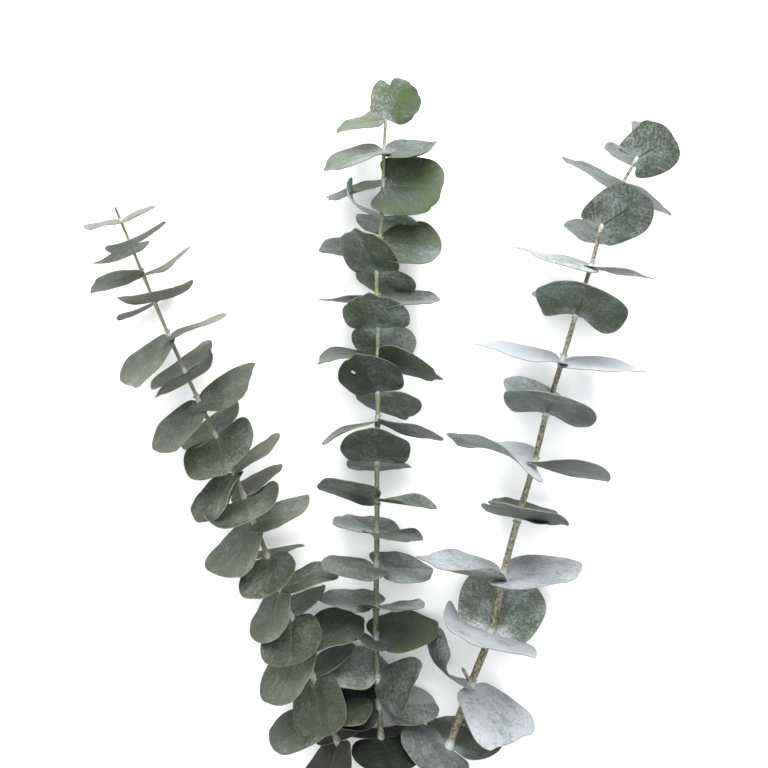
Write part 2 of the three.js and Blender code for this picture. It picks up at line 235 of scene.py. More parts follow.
# %% Leaves that stand out
# The lowest leaves, 34, 35 and 36, are made darker: this is painted shade, for the deep shade among
# the crowded leaves near the cut end.
LEFT["own"] = {
    "lightness_and_shade": {
        1: 0.8, 2: 0.8, 3: 1.7, 4: 1.7, 5: 1.1, 6: 1.3, 7: 0.95, 8: 1.2, 11: 0.28, 12: 1.5,
        13: 0.68, 14: 0.62, 15: 0.55, 16: 1.5, 17: 0.9, 18: 0.8, 19: 0.6, 20: 1.2, 22: 0.95,
        23: 0.6, 24: 1.2, 26: 0.85, 27: 0.45, 28: 1.3, 29: 0.6, 30: 0.7, 31: 0.6, 32: 0.6,
        34: 0.65, 35: 0.3, 36: 0.3,
    },
    "wax": {11: 0.2, 15: 0.5, 27: 0.5},
    "green": {10: 0.4, 11: 0.6, 15: 0.4},
    "broad": {
        1: 0.35, 2: 0.3, 3: 0.3, 4: 0.3, 5: 0.8, 6: 0.6, 10: 0.35, 13: 0.45, 14: 0.22,
        15: -0.15, 22: 0.3, 26: 0.22,
    },
    "blunt": {5: 0.14, 6: 0.07, 10: 0.08, 13: 0.14, 14: 0.08, 22: 0.08, 30: 0.06},
    "notch": {6: 0.0, 10: 0.04, 13: 0.05, 14: 0.02, 15: -0.07, 29: -0.05},
    "lobe": {11: 0.12, 15: 0.18},
    "cup": {7: 0.25, 8: 0.3, 11: 0.0, 19: 0.2},
    "ruffle": {23: 1.3},
    "rolled": {6: 0.0},
    "sides": {11: (0, 75), 18: (95, 60), 19: (55, 55)},
    "tip_curl": {18: 60},
}
# The lowest leaves, 135, 138, 139 and 140, are made darker: this is painted shade, for the deep shade
# among the crowded leaves near the cut end. Leaf 138 is nearly black, for a leaf that lies all in
# shadow.
MIDDLE["own"] = {
    "lightness_and_shade": {
        101: 2.0, 102: 0.9, 103: 0.75, 104: 0.85, 105: 0.64, 106: 0.8, 107: 1.6, 108: 1.8,
        109: 0.68, 110: 1.4, 111: 0.95, 112: 1.6, 113: 0.75, 114: 1.1, 115: 1.05, 116: 1.7,
        117: 1.0, 118: 0.8, 119: 0.6, 120: 1.4, 121: 1.05, 122: 1.1, 123: 0.8, 124: 1.8,
        125: 0.9, 126: 0.85, 127: 0.55, 128: 1.35, 129: 1.15, 130: 0.62, 131: 1.0, 132: 1.3,
        133: 0.6, 134: 0.55, 135: 0.36, 136: 1.3, 137: 1.0, 138: 0.1, 139: 0.14, 140: 0.06,
    },
    "wax": {
        101: 0.38, 102: 0.2, 103: 0.35, 104: 0.55, 105: 0.24, 106: 0.4, 107: 0.6, 108: 0.8,
        110: 0.6, 113: 0.65, 114: 0.7, 116: 0.55, 119: 0.33, 123: 0.42, 128: 0.65, 129: 0.6,
        132: 0.65, 133: 0.25, 134: 0.3, 135: 0.5, 136: 0.6, 137: 0.65, 139: 0.2,
    },
    "green": {
        101: 1.0, 102: 1.0, 105: 1.05, 106: 0.9, 109: 0.7, 111: 0.5, 115: 0.6, 119: 0.4, 133: 0.8,
    },
    "broad": {
        106: -0.08, 109: -0.02, 111: -0.15, 112: -0.2, 115: -0.34, 116: -0.15, 117: -0.2,
        119: -0.25, 120: -0.15, 123: -0.22, 128: -0.15, 130: -0.05, 135: 0.5, 138: -0.1,
    },
    "blunt": {101: 0.0, 126: 0.06, 131: 0.1, 135: 0.12},
    "notch": {
        101: 0.0, 104: -0.1, 106: -0.14, 110: -0.08, 111: -0.1, 112: -0.05, 113: -0.05,
        115: -0.07, 116: -0.04, 117: -0.12, 118: -0.05, 119: -0.07, 120: -0.14, 123: -0.04,
        126: 0.0, 127: 0.08, 128: -0.12, 129: -0.08, 130: -0.06, 133: -0.05, 134: -0.06,
        135: 0.05,
    },
    "lobe": {105: 0.24, 109: 0.0, 111: 0.16, 115: 0.12, 119: 0.14, 123: 0.16},
    "ruffle": {101: 1.6, 102: 1.6},
    "sides": {
        101: (35, 10), 102: (-10, 30), 103: (20, 40), 125: (0, 70), 127: (20, 30), 131: (20, 40),
        133: (-20, 20),
    },
    "tip_curl": {103: 85},
    "dents": {
        101: [(-140, 0.3, 9), (-60, 0.07, 9), (75, 0.05, 8), (135, 0.06, 6), (165, 0.05, 5)],
        102: [(110, 0.1, 6), (140, 0.06, 5), (-120, 0.08, 6)],
        105: [(-142, 0.07, 6)],
    },
    "holes": {119: [(0.62, -0.22, 0.06, 0.035)]},
}
# The lowest leaves, 227 and 228, are made darker: this is painted shade, for the deep shade among the
# crowded leaves near the cut end.
RIGHT["own"] = {
    "lightness_and_shade": {
        201: 0.38, 202: 0.4, 203: 0.9, 204: 1.15, 205: 1.3, 206: 1.45, 208: 1.5, 209: 1.3,
        210: 0.95, 212: 1.2, 213: 0.84, 214: 0.84, 216: 1.8, 217: 0.9, 218: 1.15, 219: 0.95,
        220: 0.9, 221: 0.85, 222: 0.85, 223: 0.8, 224: 1.35, 225: 0.84, 226: 0.8, 227: 0.6,
        228: 0.45,
    },
    "wax": {
        203: 0.5, 204: 0.9, 205: 0.85, 206: 0.9, 207: 0.55, 208: 0.85, 209: 0.75, 211: 0.45,
        213: 0.85, 214: 0.85, 215: 0.5, 216: 0.5, 217: 0.4, 218: 0.9, 219: 0.5, 220: 0.15,
        221: 0.6, 223: 0.7, 224: 0.25, 225: 0.62, 226: 0.6, 227: 0.15, 228: 0.4,
    },
    "green": {203: 0.5, 211: 0.6, 220: 0.9, 224: 0.4, 227: 0.7},
    "broad": {
        202: -0.2, 203: -0.05, 204: -0.25, 206: -0.1, 207: -0.05, 211: -0.08, 213: -0.15,
        214: -0.25, 215: -0.1, 216: -0.2, 217: 0.4, 218: -0.34, 221: 0.0, 222: -0.25, 223: -0.1,
        224: 0.05, 225: 0.18, 226: 0.25,
    },
    "blunt": {217: 0.06, 225: 0.14},
    "notch": {
        202: -0.1, 204: -0.05, 205: -0.05, 206: -0.1, 208: -0.1, 209: -0.1, 210: -0.12,
        213: -0.14, 214: -0.16, 218: -0.12, 222: -0.16, 223: -0.12,
    },
    "lobe": {
        203: 0.34, 204: 0.02, 207: 0.28, 208: 0.02, 211: 0.4, 212: 0.0, 213: 0.06, 214: 0.06,
        215: 0.4, 216: 0.0, 219: 0.2, 222: 0.04, 225: 0.06,
    },
    "kidney": {203: 0.75, 207: 0.8, 211: 0.85, 215: 0.85},
    "cup": {203: 0.0, 207: 0.0, 211: -0.12, 215: -0.12},
    "ruffle": {211: 0.2, 215: 0.2},
    "rolled": {203: 0.0, 207: 0.0},
    "sides": {210: (0, -35), 213: (-20, 30), 219: (20, -40), 222: (0, 80), 223: (80, 0)},
    "dents": {
        211: [(-112, 0.05, 24), (-50, 0.12, 18)],
        215: [(-112, 0.04, 24), (-50, 0.1, 18)],
        219: [(-100, 0.2, 5)],
    },
}


def own_values(stem, index):
    """The values that a leaf has of its own, by name."""
    return {name: table[index] for name, table in stem["own"].items() if index in table}


print("a leaf that stands out:", own_values(MIDDLE, 119))

# %% [markdown]
# A stem's line is a Catmull-Rom curve: it passes through every measured point and leaves each one
# in the direction from the point before to the point after. The helper walks it in short steps, so
# that any distance from the tip gives a place and the direction towards the tip.

# %% Walking along a stem
STEPS_PER_POINT = 24


def walk_route(points):
    """Closely spaced points along a stem's line, and each one's distance from the tip."""
    places = [np.array(p, dtype=float) for p in points]
    places = [2 * places[0] - places[1]] + places + [2 * places[-1] - places[-2]]
    line = []
    for before, start, end, after in zip(places, places[1:], places[2:], places[3:]):
        leave = 0.5 * (end - before)
        arrive = 0.5 * (after - start)
        for step in range(STEPS_PER_POINT):
            t = step / STEPS_PER_POINT
            line.append(
                start
                + leave * t
                + (3 * (end - start) - 2 * leave - arrive) * t**2
                + (2 * (start - end) + leave + arrive) * t**3
            )
    line.append(places[-2])
    line = np.array(line)
    steps = np.linalg.norm(np.diff(line, axis=0), axis=1)
    return line, np.concatenate([[0], np.cumsum(steps)])


def along_route(stem, distance):
    """The point at a distance from the tip, and the direction towards the tip there."""
    line, run = stem["line"], stem["run"]
    i = int(np.clip(np.searchsorted(run, distance), 1, len(line) - 1))
    share = (distance - run[i - 1]) / (run[i] - run[i - 1])
    towards_tip = line[i - 1] - line[i]
    return (
        line[i - 1] + share * (line[i] - line[i - 1]),
        towards_tip / np.linalg.norm(towards_tip),
    )


for stem in STEMS:
    stem["line"], stem["run"] = walk_route(stem["route"])
    stem["length"] = stem["run"][-1]
    print(stem["node"], "stem:", round(stem["length"]), "mm long")

# %% [markdown]
# A leaf is nearly round, with a shallow notch where it clasps the stem. One blank leaf is modelled:
# a disc, inset again and again, so that it has narrow rings at its margin, where it will roll and
# ruffle, and wider ones inside. Two of its vertices in each ring lie on the midrib. It is modelled at
# a radius of one metre, because it is only a pattern for the copies.

# %% The blank leaf
AROUND = 56
RING_WIDTHS = [0.025, 0.045, 0.07, 0.1, 0.13, 0.14, 0.14, 0.14, 0.12]

bpy.ops.mesh.primitive_circle_add(vertices=AROUND, radius=1.0, fill_type="NGON")
blank = bpy.context.object
blank.name = "leaf_blank"
bpy.ops.object.mode_set(mode="EDIT")
bpy.ops.mesh.select_all(action="SELECT")
for ring_width in RING_WIDTHS:
    bpy.ops.mesh.inset(thickness=ring_width)
bpy.ops.mesh.poke()
bpy.ops.object.mode_set(mode="OBJECT")
print("blank leaf:", len(blank.data.vertices), "vertices,", len(blank.data.polygons), "faces")

# %% [markdown]
# A vertex of the disc becomes a place on the leaf in two steps. First it is laid out on the flat:
# its angle picks a point of the leaf's outline, and its radius says how far out from the leaf's
# middle it lies. Real leaves differ, so each copy's outline swells and shrinks a little, one half is
# wider than the other, and its tip is blunt, pointed or notched. Both flat places are kept, because
# the materials draw the veins and the pale margin by them.

# %% Laying the blank out flat
TIP_POINT = 0.03
BLUNT_WIDTH = 0.55
NOTCH_WIDTH = 0.16
HALF_DIFFERENCE = 0.08
UNEVEN_WAVES = (2, 3, 5, 8)
ON_MIDRIB = 1e-6


def spread(k):
    """A repeatable number from 0 to 1 for the k-th small irregularity."""
    s = math.sin(k * 78.233) * 43758.5453
    return s - math.floor(s)


disc = np.array([v.co[:] for v in blank.data.vertices])
DISC_RADIUS = np.minimum(1.0, np.hypot(disc[:, 0], disc[:, 1]))
DISC_ANGLE = np.arctan2(np.abs(disc[:, 1]), -disc[:, 0])
DISC_SIDE = np.where(np.abs(disc[:, 1]) < ON_MIDRIB, 0.0, np.sign(disc[:, 1]))
DISC_TURN = np.arctan2(disc[:, 1], -disc[:, 0])


def lay_flat(leaf):
    """Each vertex's place along and across the flat leaf, as shares of its length and width."""
    angle = DISC_ANGLE
    from_tip = math.pi - angle
    quarter = np.minimum(angle / (math.pi / 2), 1.0)
    lobe = leaf["lobe"] * np.sin(math.pi * quarter ** leaf["kidney"]) ** 2
    tip = TIP_POINT * np.maximum(0, -np.cos(angle)) ** 8
    uneven = np.zeros(len(disc))
    for waves in UNEVEN_WAVES:
        start = 2 * math.pi * spread(leaf["index"] + 0.11 * waves)
        uneven += (leaf["uneven"] / waves) * np.cos(waves * DISC_TURN + start)
    uneven *= np.sin(angle / 2) ** 2
    for at, depth, width in leaf["dents"]:
        uneven -= depth * np.exp(-(((np.degrees(DISC_TURN) - at) / width) ** 2))
    cut_off = leaf["blunt"] * np.exp(-((from_tip / BLUNT_WIDTH) ** 4))
    notch = leaf["notch"] * np.exp(-((from_tip / NOTCH_WIDTH) ** 2))
    rim_along = 0.5 - 0.5 * np.cos(angle) - lobe + tip - cut_off - notch
    rim_across = 0.5 * np.sin(np.minimum(angle, math.pi)) ** 0.85
    rim_across *= 1 - leaf["broad"] * np.cos(angle)
    lean = 1 + HALF_DIFFERENCE * (spread(leaf["index"] + 0.5) - 0.5) * DISC_SIDE
    along = 0.5 + DISC_RADIUS * (1 + uneven) * (rim_along - 0.5)
    across = DISC_SIDE * DISC_RADIUS * (1 + uneven) * rim_across * lean
    return along, across


print("vertices on a midrib:", int((DISC_SIDE == 0).sum()))

# %% [markdown]
# Then the flat leaf is given its form. It bends along its midrib, twists, cups, and its margin
# waves, all by the same rule as the model's plate. On top of that come the finer things a plate
# has no room for: a groove along the midrib, blisters between the side veins, a ruffle in the
# margin, and a narrow strip at the margin that rolls up or down from place to place. One leaf of
# the middle stem has a small hole.
#
# Nothing sinks into the floor. A leaf that would is pressed flat against it, with a soft start.

# %% Giving a leaf its form
WAVE_HEIGHT = 0.035
GROOVE_DEPTH = 0.45
GROOVE_WIDTH = 1.3
BLISTER_HEIGHT = 0.1
SIDE_VEINS = 9.0
SIDE_VEIN_SLANT = 6.5
RUFFLE_FROM = 0.62
RUFFLE_WAVES = (5, 8, 11)
ROLL_FROM = 0.84
SIDES_FROM = 0.45
PRESS_SOFTNESS = 3.0
LEAF_THICKNESS = 0.45
BEND_STEPS = 12
SMALLEST_ROLL = 1e-3
SHORTEST_ROW = 3
USUAL_END = [0, 0, 0, 1, 0]


def fine_relief(leaf, along, across):
    """The small forms of the upper face, in millimetres up from it."""
    edge = np.abs(across) / (leaf["wide"] / 2)
    share = along / leaf["long"]
    groove = -GROOVE_DEPTH * np.exp(-((across / GROOVE_WIDTH) ** 2)) * np.clip(1.05 - share, 0, 1)
    side_veins = np.sin(2 * math.pi * (SIDE_VEINS * share - SIDE_VEIN_SLANT * edge))
    inside = np.clip(edge * 3, 0, 1) * np.clip((1 - edge) * 3, 0, 1)
    blisters = BLISTER_HEIGHT * side_veins * inside
    rim = np.clip((DISC_RADIUS - RUFFLE_FROM) / (1 - RUFFLE_FROM), 0, 1)
    ruffle = np.zeros(len(disc))
    for waves in RUFFLE_WAVES:
        start = 2 * math.pi * spread(leaf["index"] + 0.07 * waves)
        ruffle += np.sin(waves * DISC_TURN + start) * leaf["ruffle"] / waves**0.8
    rolled = np.clip((DISC_RADIUS - ROLL_FROM) / (1 - ROLL_FROM), 0, 1) ** 2
    roll_start = 2 * math.pi * spread(leaf["index"] + 0.4)
    roll = leaf["rolled"] * (0.35 + np.sin(2 * DISC_TURN + roll_start))
    clasped = np.clip(share * 4, 0, 1)
    return groove + blisters + clasped * (rim**2 * ruffle + rolled * roll)


def roll_sides(leaf, across):
    """Rolls the outer part of each half up or down about a line along the blade."""
    half = leaf["wide"] / 2
    start = SIDES_FROM * half
    outer = np.clip(np.abs(across) - start, 0, None)
    angle = np.radians(np.where(across < 0, leaf["sides"][0], leaf["sides"][1]))
    angle = np.where(np.abs(angle) < SMALLEST_ROLL, SMALLEST_ROLL, angle)
    round_it = (half - start) / angle
    turned = angle * outer / (half - start)
    inward = outer - round_it * np.sin(turned)
    return across - np.sign(across) * inward, round_it * (1 - np.cos(turned))


def open_holes(leaf, along, across):
    """Moves the vertices round each hole's middle out to an oval, and lists the middles."""
    middles = []
    for at_along, at_across, half_long, half_wide in leaf["holes"]:
        middle = int(np.argmin((along - at_along) ** 2 + (across - at_across) ** 2))
        for face in blank.data.polygons:
            if middle not in face.vertices:
                continue
            for corner in face.vertices:
                if corner == middle:
                    continue
                angle = math.atan2(across[corner] - across[middle], along[corner] - along[middle])
                along[corner] = along[middle] + half_long * math.cos(angle)
                across[corner] = across[middle] + half_wide * math.sin(angle)
        middles.append(middle)
    return middles


def bend_blade(leaf, along, across):
    """Out along the midrib, across it, and up from the upper face."""
    share = np.maximum(0, along / leaf["long"])
    bend = math.radians(leaf["bend"])
    tip_curl = math.radians(leaf["tip_curl"])
    steps = (np.arange(BEND_STEPS) + 0.5) / BEND_STEPS
    reached = share[:, None] * steps
    heading = bend * reached**1.5 + tip_curl * reached**5
    out = (np.cos(heading) * along[:, None]).mean(axis=1)
    up = (np.sin(heading) * along[:, None]).mean(axis=1)
    end = bend * share**1.5 + tip_curl * share**5
    edge = across / (leaf["wide"] / 2)
    wave_start = 5 * along / leaf["long"] + leaf["phase"] + np.where(edge > 0, 0, 2)
    wave = WAVE_HEIGHT * leaf["long"] * edge**2 * np.sin(wave_start)
    cup = leaf["cup"] * leaf["wide"] * 0.25 * edge**2
    rolled_across, rolled_up = roll_sides(leaf, across)
    height = cup + wave + rolled_up + fine_relief(leaf, along, across)
    turn = math.radians(leaf["twist"]) * (along / leaf["long"])
    aside = rolled_across * np.cos(turn) - height * np.sin(turn)
    lift = rolled_across * np.sin(turn) + height * np.cos(turn)
    return out - lift * np.sin(end), aside, up + lift * np.cos(end)


def press(height):
    """Heights above the floor, with none lower than half a leaf's thickness."""
    low = LEAF_THICKNESS / 2
    above = height - low
    soft = low + (above + PRESS_SOFTNESS) ** 2 / (4 * PRESS_SOFTNESS)
    pressed = np.where(above > PRESS_SOFTNESS, height, soft)
    return np.where(above < -PRESS_SOFTNESS, low, pressed)


def stem_directions(towards_tip, turn, lift):
    """The direction that leaves the stem, and the one square to it that looks along the stem."""
    turn, lift = math.radians(turn), math.radians(lift)
    right = np.cross(towards_tip, (0, 0, 1))
    right /= np.linalg.norm(right)
    front = np.cross(right, towards_tip)
    turned = math.cos(turn) * right + math.sin(turn) * front
    outward = math.cos(lift) * turned + math.sin(lift) * towards_tip
    upward = towards_tip - np.dot(towards_tip, outward) * outward
    return outward, upward / np.linalg.norm(upward)


def full_row(row):
    """A leaf's row with the values that its end leaves out."""
    return row + USUAL_END[len(row) - SHORTEST_ROW:]


def place_leaf(stem, at, row, index):
    """A leaf's frame and form from its row in the table and what sets it apart."""
    turn, lift, long, roll, bend, twist, wide, cup = full_row(row)
    root, towards_tip = along_route(stem, at)
    outward, upward = stem_directions(towards_tip, turn, lift)
    rolling = Matrix.Rotation(math.radians(roll), 3, Vector(outward))
    upward = np.array(rolling @ Vector(upward))
    leaf = {
        "index": index,
        "root": root,
        "outward": outward,
        "upward": upward,
        "sideways": np.cross(upward, outward),
        "long": long,
        "wide": long * stem["wide"] * wide,
        "lobe": stem["lobe"],
        "kidney": 1.0,
        "bend": bend,
        "twist": twist,
        "cup": stem["cup"] + cup + 0.12 * (spread(index + 0.3) - 0.5),
        "phase": 2 * math.pi * spread(index + 0.6),
        "ruffle": 0.35 + 0.5 * spread(index + 0.21),
        "rolled": 1.1 * (spread(index + 0.91) - 0.4),
        "uneven": 0.035,
        "broad": stem["broad"] + 0.1 * (spread(index + 0.45) - 0.5),
        "blunt": 0.06 * spread(index + 0.77),
        "notch": 0.05 * max(0.0, spread(index + 0.33) - 0.4),
        "dents": [],
        "sides": (0, 0),
        "tip_curl": 0,
        "holes": [],
    }
    leaf.update(own_values(stem, index))
    return leaf


def shape_leaf(leaf):
    """Every vertex of a leaf, in metres, and its flat places for the materials."""
    flat_along, flat_across = lay_flat(leaf)
    leaf["middles"] = open_holes(leaf, flat_along, flat_across)
    out, aside, up = bend_blade(leaf, flat_along * leaf["long"], flat_across * leaf["wide"])
    points = (
        leaf["root"]
        + out[:, None] * leaf["outward"]
        + aside[:, None] * leaf["sideways"]
        + up[:, None] * leaf["upward"]
    )
    points[:, 2] = press(points[:, 2])
    points[:, :2] -= FAN_MIDDLE
    return points * MM, flat_along, flat_across


print("leaf thickness:", LEAF_THICKNESS, "mm")

# %% [markdown]
# A leaf's looks change along a stem and from leaf to leaf, so each one carries four numbers of its
# own: how much white wax it has, how light it is, how fresh and green it is, and how strongly its
# veins show. They are stored on its vertices, where a material can read them. Stops along the stem
# give the usual values, and a few leaves that stand out have their own. The second number is a
# leaf's own tone, and for the lowest leaves near the cut ends it also holds painted shade.

# %% Each leaf's looks
LEFT["looks"] = [
    # distance, wax, lightness, green, veins
    [0, 0.60, 1.10, 0.10, 0.2],
    [90, 0.50, 1.00, 0.20, 0.2],
    [200, 0.45, 0.95, 0.20, 0.3],
    [300, 0.42, 0.80, 0.15, 0.3],
    [360, 0.30, 0.60, 0.10, 0.2],
]
MIDDLE["looks"] = [
    [0, 0.62, 1.15, 0.90, 0.5],
    [40, 0.35, 1.00, 0.95, 0.4],
    [60, 0.42, 0.95, 0.60, 0.3],
    [85, 0.42, 0.90, 0.30, 0.3],
    [200, 0.38, 0.80, 0.10, 0.3],
    [240, 0.60, 1.05, 0.10, 0.3],
    [320, 0.50, 0.80, 0.10, 0.2],
    [380, 0.35, 0.60, 0.10, 0.2],
]
RIGHT["looks"] = [
    [0, 0.60, 1.00, 0.25, 1.0],
    [60, 0.60, 1.00, 0.20, 1.0],
    [120, 0.60, 1.00, 0.10, 0.8],
    [260, 0.65, 1.00, 0.10, 0.6],
    [390, 0.65, 0.95, 0.05, 0.4],
]
LOOKS = ("wax", "lightness_and_shade", "green", "veins")
CHANCE = (0.2, 0.14, 0.12, 0.3)


def leaf_looks(stem, at, index):
    """A leaf's four numbers, between the stops, with a little chance added."""
    stops = np.array(stem["looks"])
    values = [np.interp(at, stops[:, 0], stops[:, i + 1]) for i in range(len(LOOKS))]
    looks = {
        name: value + chance * (spread(index + 0.13 * (i + 1)) - 0.5)
        for i, (name, value, chance) in enumerate(zip(LOOKS, values, CHANCE))
    }
    own = own_values(stem, index)
    looks.update({name: own[name] for name in LOOKS if name in own})
    looks["number"] = spread(index + 0.87)
    return looks


sample = leaf_looks(LEFT, 100, 3)
print("looks of a leaf:", {name: round(value, 2) for name, value in sample.items()})

# %% Copy the blank for every leaf
RIM_ATTRIBUTE = "rim"


def cut_holes(copy, middles):
    """Deletes the middle vertex of each hole, and the faces round it with it."""
    if not middles:
        return
    select_only(copy)
    bpy.ops.object.mode_set(mode="EDIT")
    bpy.ops.mesh.select_mode(type="VERT")
    bpy.ops.mesh.select_all(action="DESELECT")
    bpy.ops.object.mode_set(mode="OBJECT")
    for middle in middles:
        copy.data.vertices[middle].select = True
    bpy.ops.object.mode_set(mode="EDIT")
    bpy.ops.mesh.delete(type="VERT")
    bpy.ops.object.mode_set(mode="OBJECT")


def make_leaves(stem):
    """All leaves of a stem as one object, each from its own copy of the blank."""
    copies = []
    for pair, (at, *rows) in enumerate(stem["pairs"]):
        for which, row in enumerate(rows):
            index = stem["first_leaf"] + 2 * pair + which
            leaf = place_leaf(stem, at, row, index)
            points, along, across = shape_leaf(leaf)
            mesh = blank.data.copy()
            mesh.vertices.foreach_set("co", points.ravel())
            corners = np.zeros(len(mesh.loops), dtype=np.int32)
            mesh.loops.foreach_get("vertex_index", corners)
            flat = np.column_stack([along[corners], across[corners] + 0.5])
            layer = mesh.uv_layers.new(name="leaf_map")
            layer.data.foreach_set("uv", flat.ravel().astype(np.float32))
            keep_number(mesh, RIM_ATTRIBUTE, DISC_RADIUS)
            for name, value in leaf_looks(stem, at, index).items():
                keep_number(mesh, name, value)
            copies.append(add_object("leaf", mesh))
            cut_holes(copies[-1], leaf["middles"])
    select_only(*copies[1:], copies[0])
    bpy.ops.object.join()
    leaves = bpy.context.object
    leaves.name = stem["node"].replace("branch", "leaves")
    return leaves


for stem in STEMS:
    stem["leaves"] = make_leaves(stem)
    print(stem["leaves"].name + ":", len(stem["leaves"].data.polygons), "faces in one sheet each")

# %% [markdown]
# The sheets get their thickness from a Solidify modifier. It also gives each face of the leaf its
# own material: slot one is the upper face, slot two the underside, and slot three the thin rim.

# %% Thicken the leaves
LEAF_SMOOTH_ANGLE = math.radians(50)


def finish_leaves(leaves, upper, underside, rim):
    """Gives the sheets their thickness and the three materials."""
    for material in (upper, underside, rim):
        leaves.data.materials.append(material)
    select_only(leaves)
    thicken = leaves.modifiers.new("thickness", "SOLIDIFY")
    thicken.thickness = LEAF_THICKNESS * MM
    thicken.offset = 0.0
    thicken.material_offset = 1
    thicken.material_offset_rim = 2
    bpy.ops.object.modifier_apply(modifier=thicken.name)
    bpy.ops.object.shade_smooth_by_angle(angle=LEAF_SMOOTH_ANGLE)


print("rim of a leaf:", LEAF_THICKNESS, "mm")

# %% [markdown]
# A stem is a curve with a round section whose radius changes from point to point: thin at the tip,
# thicker at the cut end, swollen at each pair of leaves, and a little pinched just above it. It
# is turned into a mesh once its points are in place. How near each vertex is to a pair of leaves,
# and how far it is from the tip, are kept for the material.

# %% Stems
POINT_SPACING = 1.5
NODE_SWELL = 0.28
NODE_SWELL_LENGTH = 3.5
PINCH = 0.08
PINCH_PLACE = 5.5
PINCH_LENGTH = 2.5
NEAR_LENGTH = 4.0
CUT_END_LENGTH = 0.6
CUT_END_WIDTH = 0.85
TIP_WIDTH = 0.6
ROD_SIDES = 4


def stem_radius(stem, distance):
    """The stem's radius in millimetres at a distance from the tip."""
    share = distance / stem["length"]
    plain = stem["tip_radius"] + (stem["cut_radius"] - stem["tip_radius"]) * share**0.8
    gaps = np.array([distance - pair[0] for pair in stem["pairs"]])
    swell = np.exp(-((gaps / NODE_SWELL_LENGTH) ** 2)).max()
    pinch = np.exp(-(((gaps + PINCH_PLACE) / PINCH_LENGTH) ** 2)).max()
    uneven = 0.03 * math.sin(distance * 0.31) + 0.02 * math.sin(distance * 0.83 + 1)
    return plain * (1 + NODE_SWELL * swell - PINCH * pinch + uneven)


def rod(name, points, radii):
    """A closed round rod through points, with a radius at each, as a mesh."""
    data = bpy.data.curves.new(name, "CURVE")
    data.dimensions = "3D"
    data.bevel_depth = 1.0
    data.bevel_resolution = ROD_SIDES
    data.use_fill_caps = True
    spline = data.splines.new("POLY")
    spline.points.add(len(points) - 1)
    for knot, point, radius in zip(spline.points, points, radii):
        knot.co = (*point, 1.0)
        knot.radius = radius
    select_only(add_object(name, data))
    bpy.ops.object.convert(target="MESH")
    return bpy.context.object


def in_frame(point):
    """A place in the drawing, in millimetres, as a place in the model, in metres."""
    return Vector((point[0] - FAN_MIDDLE[0], point[1] - FAN_MIDDLE[1], point[2])) * MM


def make_stem(stem):
    """A stem's rod, with the numbers that its material reads."""
    last = stem["length"] - CUT_END_LENGTH
    distances = np.append(np.arange(0, last, POINT_SPACING), last)
    points = [in_frame(along_route(stem, d)[0]) for d in distances]
    radii = [stem_radius(stem, d) * MM for d in distances]
    radii[0] *= TIP_WIDTH
    points.append(in_frame(along_route(stem, stem["length"])[0]))
    radii.append(radii[-1] * CUT_END_WIDTH)
    piece = rod(stem["node"].replace("branch", "stem"), points, radii)
    places = np.array([v.co[:] for v in piece.data.vertices])
    line = np.array([in_frame(p) for p in stem["line"]])
    nearest = np.array([np.argmin(((line - p) ** 2).sum(axis=1)) for p in places])
    distance = stem["run"][nearest]
    gaps = np.abs(distance[:, None] - np.array([pair[0] for pair in stem["pairs"]]))
    near = np.exp(-((gaps.min(axis=1) / NEAR_LENGTH) ** 2))
    keep_number(piece.data, "from_tip", distance)
    keep_number(piece.data, "near_leaves", near)
    return piece


for stem in STEMS:
    stem["rod"] = make_stem(stem)
    print(stem["rod"].name + ":", len(stem["rod"].data.vertices), "vertices")

# %% [markdown]
# Small things sit at the joints: a pointed bud in the angle of some leaves, a corky ring below each
# pair, and, low on the right stem, a short leafless side shoot. The bud is a small sphere drawn
# out to a point, and the ring is uneven all round. Each is modelled once and copied.

# %% Buds, rings and the side shoot
STEM_SMOOTH_ANGLE = math.radians(60)
BUD_LENGTH = 2.6
BUD_WIDTH = 1.3
BUD_TAPER = 0.55
BUD_RISE = 1.5
BUD_OUT = 0.7
BUD_LIFT = 48
RING_DROP = 2.4
RING_THICKNESS = 0.16
BARE_TIP = 15
STEEPEST_WITH_BUD = 15
NEAR_BUD = 0.6
NEAR_RING = 0.25
NEAR_SHOOT = 0.1
SHOOT_SHARES = (0.0, 0.3, 0.6, 0.85, 1.0)
SHOOT_WIDTHS = (1.15, 0.85, 0.7, 0.8, 0.5)

bpy.ops.mesh.primitive_uv_sphere_add(segments=12, ring_count=8, radius=1.0)
bud_blank = bpy.context.object
for vertex in bud_blank.data.vertices:
    taper = 1 - BUD_TAPER * max(0.0, vertex.co.z)
    vertex.co.x *= taper * BUD_WIDTH / 2 * MM
    vertex.co.y *= taper * BUD_WIDTH / 2 * MM
    vertex.co.z *= BUD_LENGTH / 2 * MM

bpy.ops.mesh.primitive_torus_add(
    major_radius=1.0, minor_radius=RING_THICKNESS, major_segments=24, minor_segments=6
)
ring_blank = bpy.context.object
for vertex in ring_blank.data.vertices:
    round_it = math.atan2(vertex.co.y, vertex.co.x)
    swell = 1 + 0.05 * math.sin(3 * round_it) + 0.04 * math.sin(7 * round_it + 1)
    vertex.co.x *= swell
    vertex.co.y *= swell
    vertex.co.z = 1.5 * vertex.co.z + 0.15 * math.sin(2 * round_it)


def stand_copy(pattern, name, place, direction, size=1.0):
    """A copy of a pattern at a place, with the pattern's own Z axis along a direction."""
    mesh = pattern.data.copy()
    stand = Vector((0, 0, 1)).rotation_difference(Vector(direction)).to_matrix().to_4x4()
    mesh.transform(Matrix.Translation(in_frame(place)) @ stand @ Matrix.Scale(size, 4))
    return add_object(name, mesh)


def add_numbers(piece, from_tip, near):
    """The two numbers that a stem's material reads, the same all over a small piece."""
    keep_number(piece.data, "from_tip", from_tip)
    keep_number(piece.data, "near_leaves", near)
    return piece


